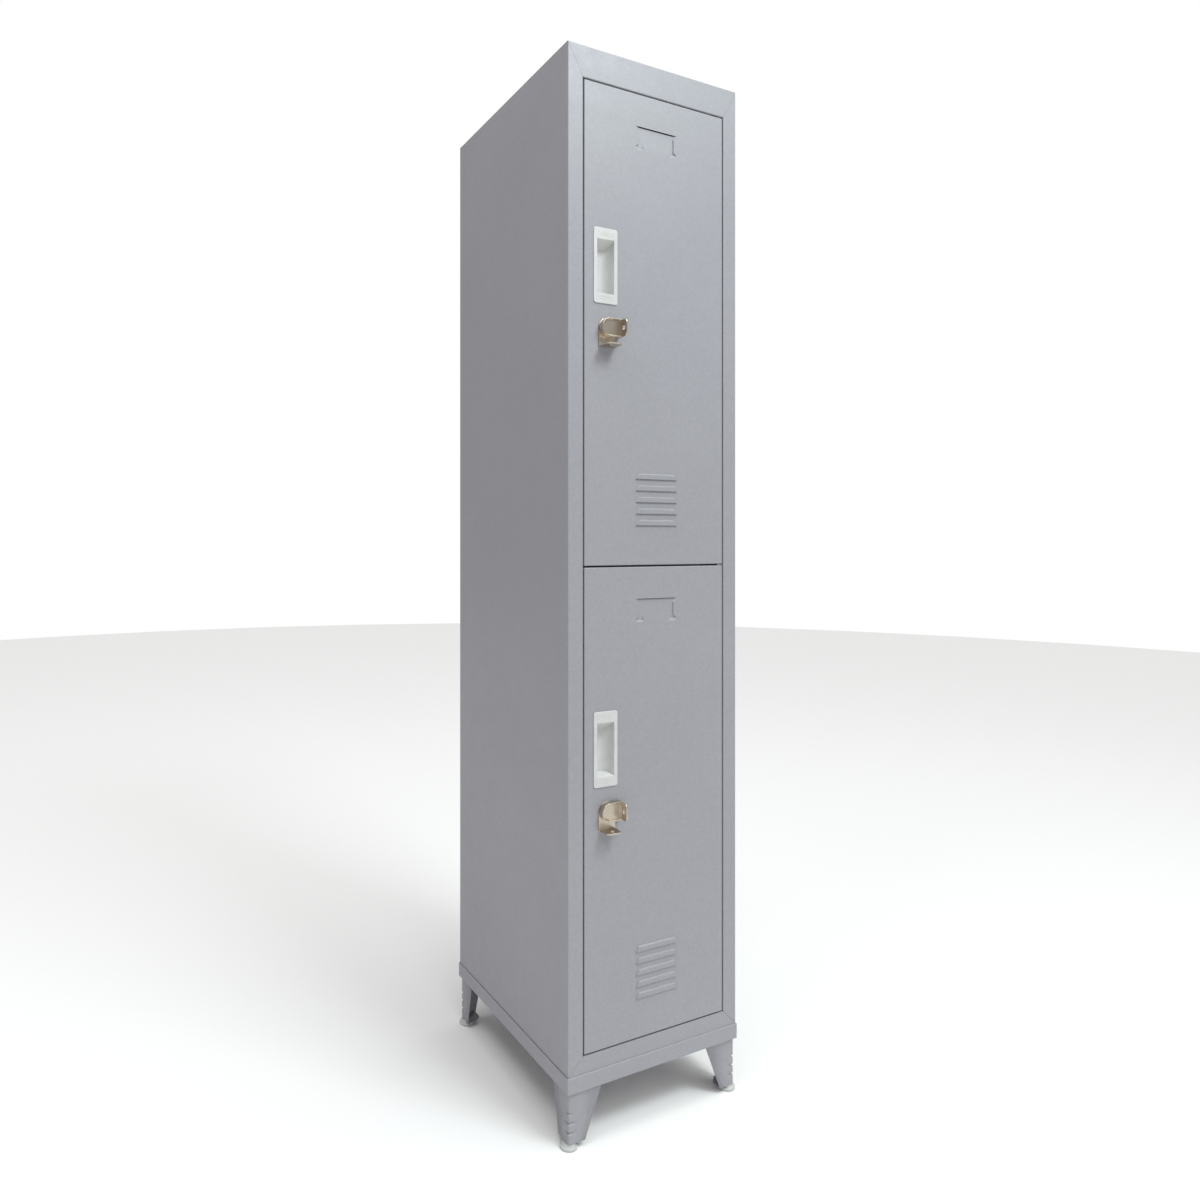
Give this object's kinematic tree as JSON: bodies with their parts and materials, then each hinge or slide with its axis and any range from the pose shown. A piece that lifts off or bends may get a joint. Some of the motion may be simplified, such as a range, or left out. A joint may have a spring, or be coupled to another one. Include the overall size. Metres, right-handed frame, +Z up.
{
  "type": "school locker",
  "caption": "Tall narrow steel locker with stacked hinged doors, recessed pulls, padlock thumb turns, louvers and a shelf, on a skirt with tapered legs and levelling feet.",
  "frame": {"origin": "on the floor, under the centre of the whole object's box, padlock lugs included", "axes": "+Z up, the doors face -Y, the hinges are on the +X side"},
  "size_m": [0.392, 0.48, 1.929],
  "materials": {
    "powder_coat": "grey powder coat with a fine orange-peel texture",
    "white_moulding": "semi-gloss injection moulding",
    "foot_plastic": "milky translucent polyethylene",
    "nickel_plate": "bright nickel plate on a zinc casting",
    "zinc_plate": "bright zinc plate",
    "grey_nylon": "moulded nylon",
    "rubber": "moulded black rubber"
  },
  "bodies": {
    "cabinet": {"left_side_panel": "powder_coat", "right_side_panel": "powder_coat", "top_panel": "powder_coat", "bottom_panel": "powder_coat", "back_panel": "powder_coat", "middle_shelf": "powder_coat", "base_skirt": "powder_coat", "leg_front_left": "powder_coat", "leg_front_right": "powder_coat", "leg_rear_right": "powder_coat", "leg_rear_left": "powder_coat", "foot_weld_nuts": "zinc_plate", "leg_bolts": "zinc_plate", "leg_nuts": "zinc_plate", "top_hinge_pin": "zinc_plate", "bottom_hinge_pin": "zinc_plate", "middle_hinge_bracket": "powder_coat", "middle_hinge_pin": "zinc_plate", "hinge_washers": "grey_nylon", "door_bumpers": "rubber", "upper_coat_rod": "zinc_plate", "upper_rod_sockets": "grey_nylon", "lower_coat_rod": "zinc_plate", "lower_rod_sockets": "grey_nylon"},
    "upper_door": {"upper_door_panel": "powder_coat", "upper_door_stiffener": "powder_coat", "upper_recess_handle": "white_moulding", "upper_hasp_base": "nickel_plate", "upper_hasp_nut": "zinc_plate"},
    "upper_hasp": {"upper_thumb_turn": "nickel_plate", "upper_latch_cam": "zinc_plate", "upper_cam_screw": "zinc_plate"},
    "lower_door": {"lower_door_panel": "powder_coat", "lower_door_stiffener": "powder_coat", "lower_recess_handle": "white_moulding", "lower_hasp_base": "nickel_plate", "lower_hasp_nut": "zinc_plate"},
    "lower_hasp": {"lower_thumb_turn": "nickel_plate", "lower_latch_cam": "zinc_plate", "lower_cam_screw": "zinc_plate"},
    "foot_front_left": {"foot_pad_front_left": "foot_plastic", "foot_stud_front_left": "zinc_plate"},
    "foot_front_right": {"foot_pad_front_right": "foot_plastic", "foot_stud_front_right": "zinc_plate"},
    "foot_rear_right": {"foot_pad_rear_right": "foot_plastic", "foot_stud_rear_right": "zinc_plate"},
    "foot_rear_left": {"foot_pad_rear_left": "foot_plastic", "foot_stud_rear_left": "zinc_plate"}
  },
  "joints": [
    {"name": "upper_door_hinge", "type": "hinge", "parent": "cabinet", "child": "upper_door", "pos_m": [0.1505, -0.207, 1.44405], "axis": [0, 0, 1], "range_deg": [0, 110]},
    {"name": "upper_hasp_turn", "type": "hinge", "parent": "upper_door", "child": "upper_hasp", "pos_m": [-0.11, -0.212, 1.4385], "axis": [0, 1, 0], "range_deg": [0, 90]},
    {"name": "lower_door_hinge", "type": "hinge", "parent": "cabinet", "child": "lower_door", "pos_m": [0.1505, -0.207, 0.58795], "axis": [0, 0, 1], "range_deg": [0, 110]},
    {"name": "lower_hasp_turn", "type": "hinge", "parent": "lower_door", "child": "lower_hasp", "pos_m": [-0.11, -0.212, 0.5824], "axis": [0, 1, 0], "range_deg": [0, 90]},
    {"name": "foot_turn_front_left", "type": "hinge", "parent": "cabinet", "child": "foot_front_left", "pos_m": [-0.18, -0.198, 0], "axis": [0, 0, 1], "range_deg": [0, 2880]},
    {"name": "foot_turn_front_right", "type": "hinge", "parent": "cabinet", "child": "foot_front_right", "pos_m": [0.18, -0.198, 0], "axis": [0, 0, 1], "range_deg": [0, 2880]},
    {"name": "foot_turn_rear_right", "type": "hinge", "parent": "cabinet", "child": "foot_rear_right", "pos_m": [0.18, 0.224, 0], "axis": [0, 0, 1], "range_deg": [0, 2880]},
    {"name": "foot_turn_rear_left", "type": "hinge", "parent": "cabinet", "child": "foot_rear_left", "pos_m": [-0.18, 0.224, 0], "axis": [0, 0, 1], "range_deg": [0, 2880]}
  ]
}
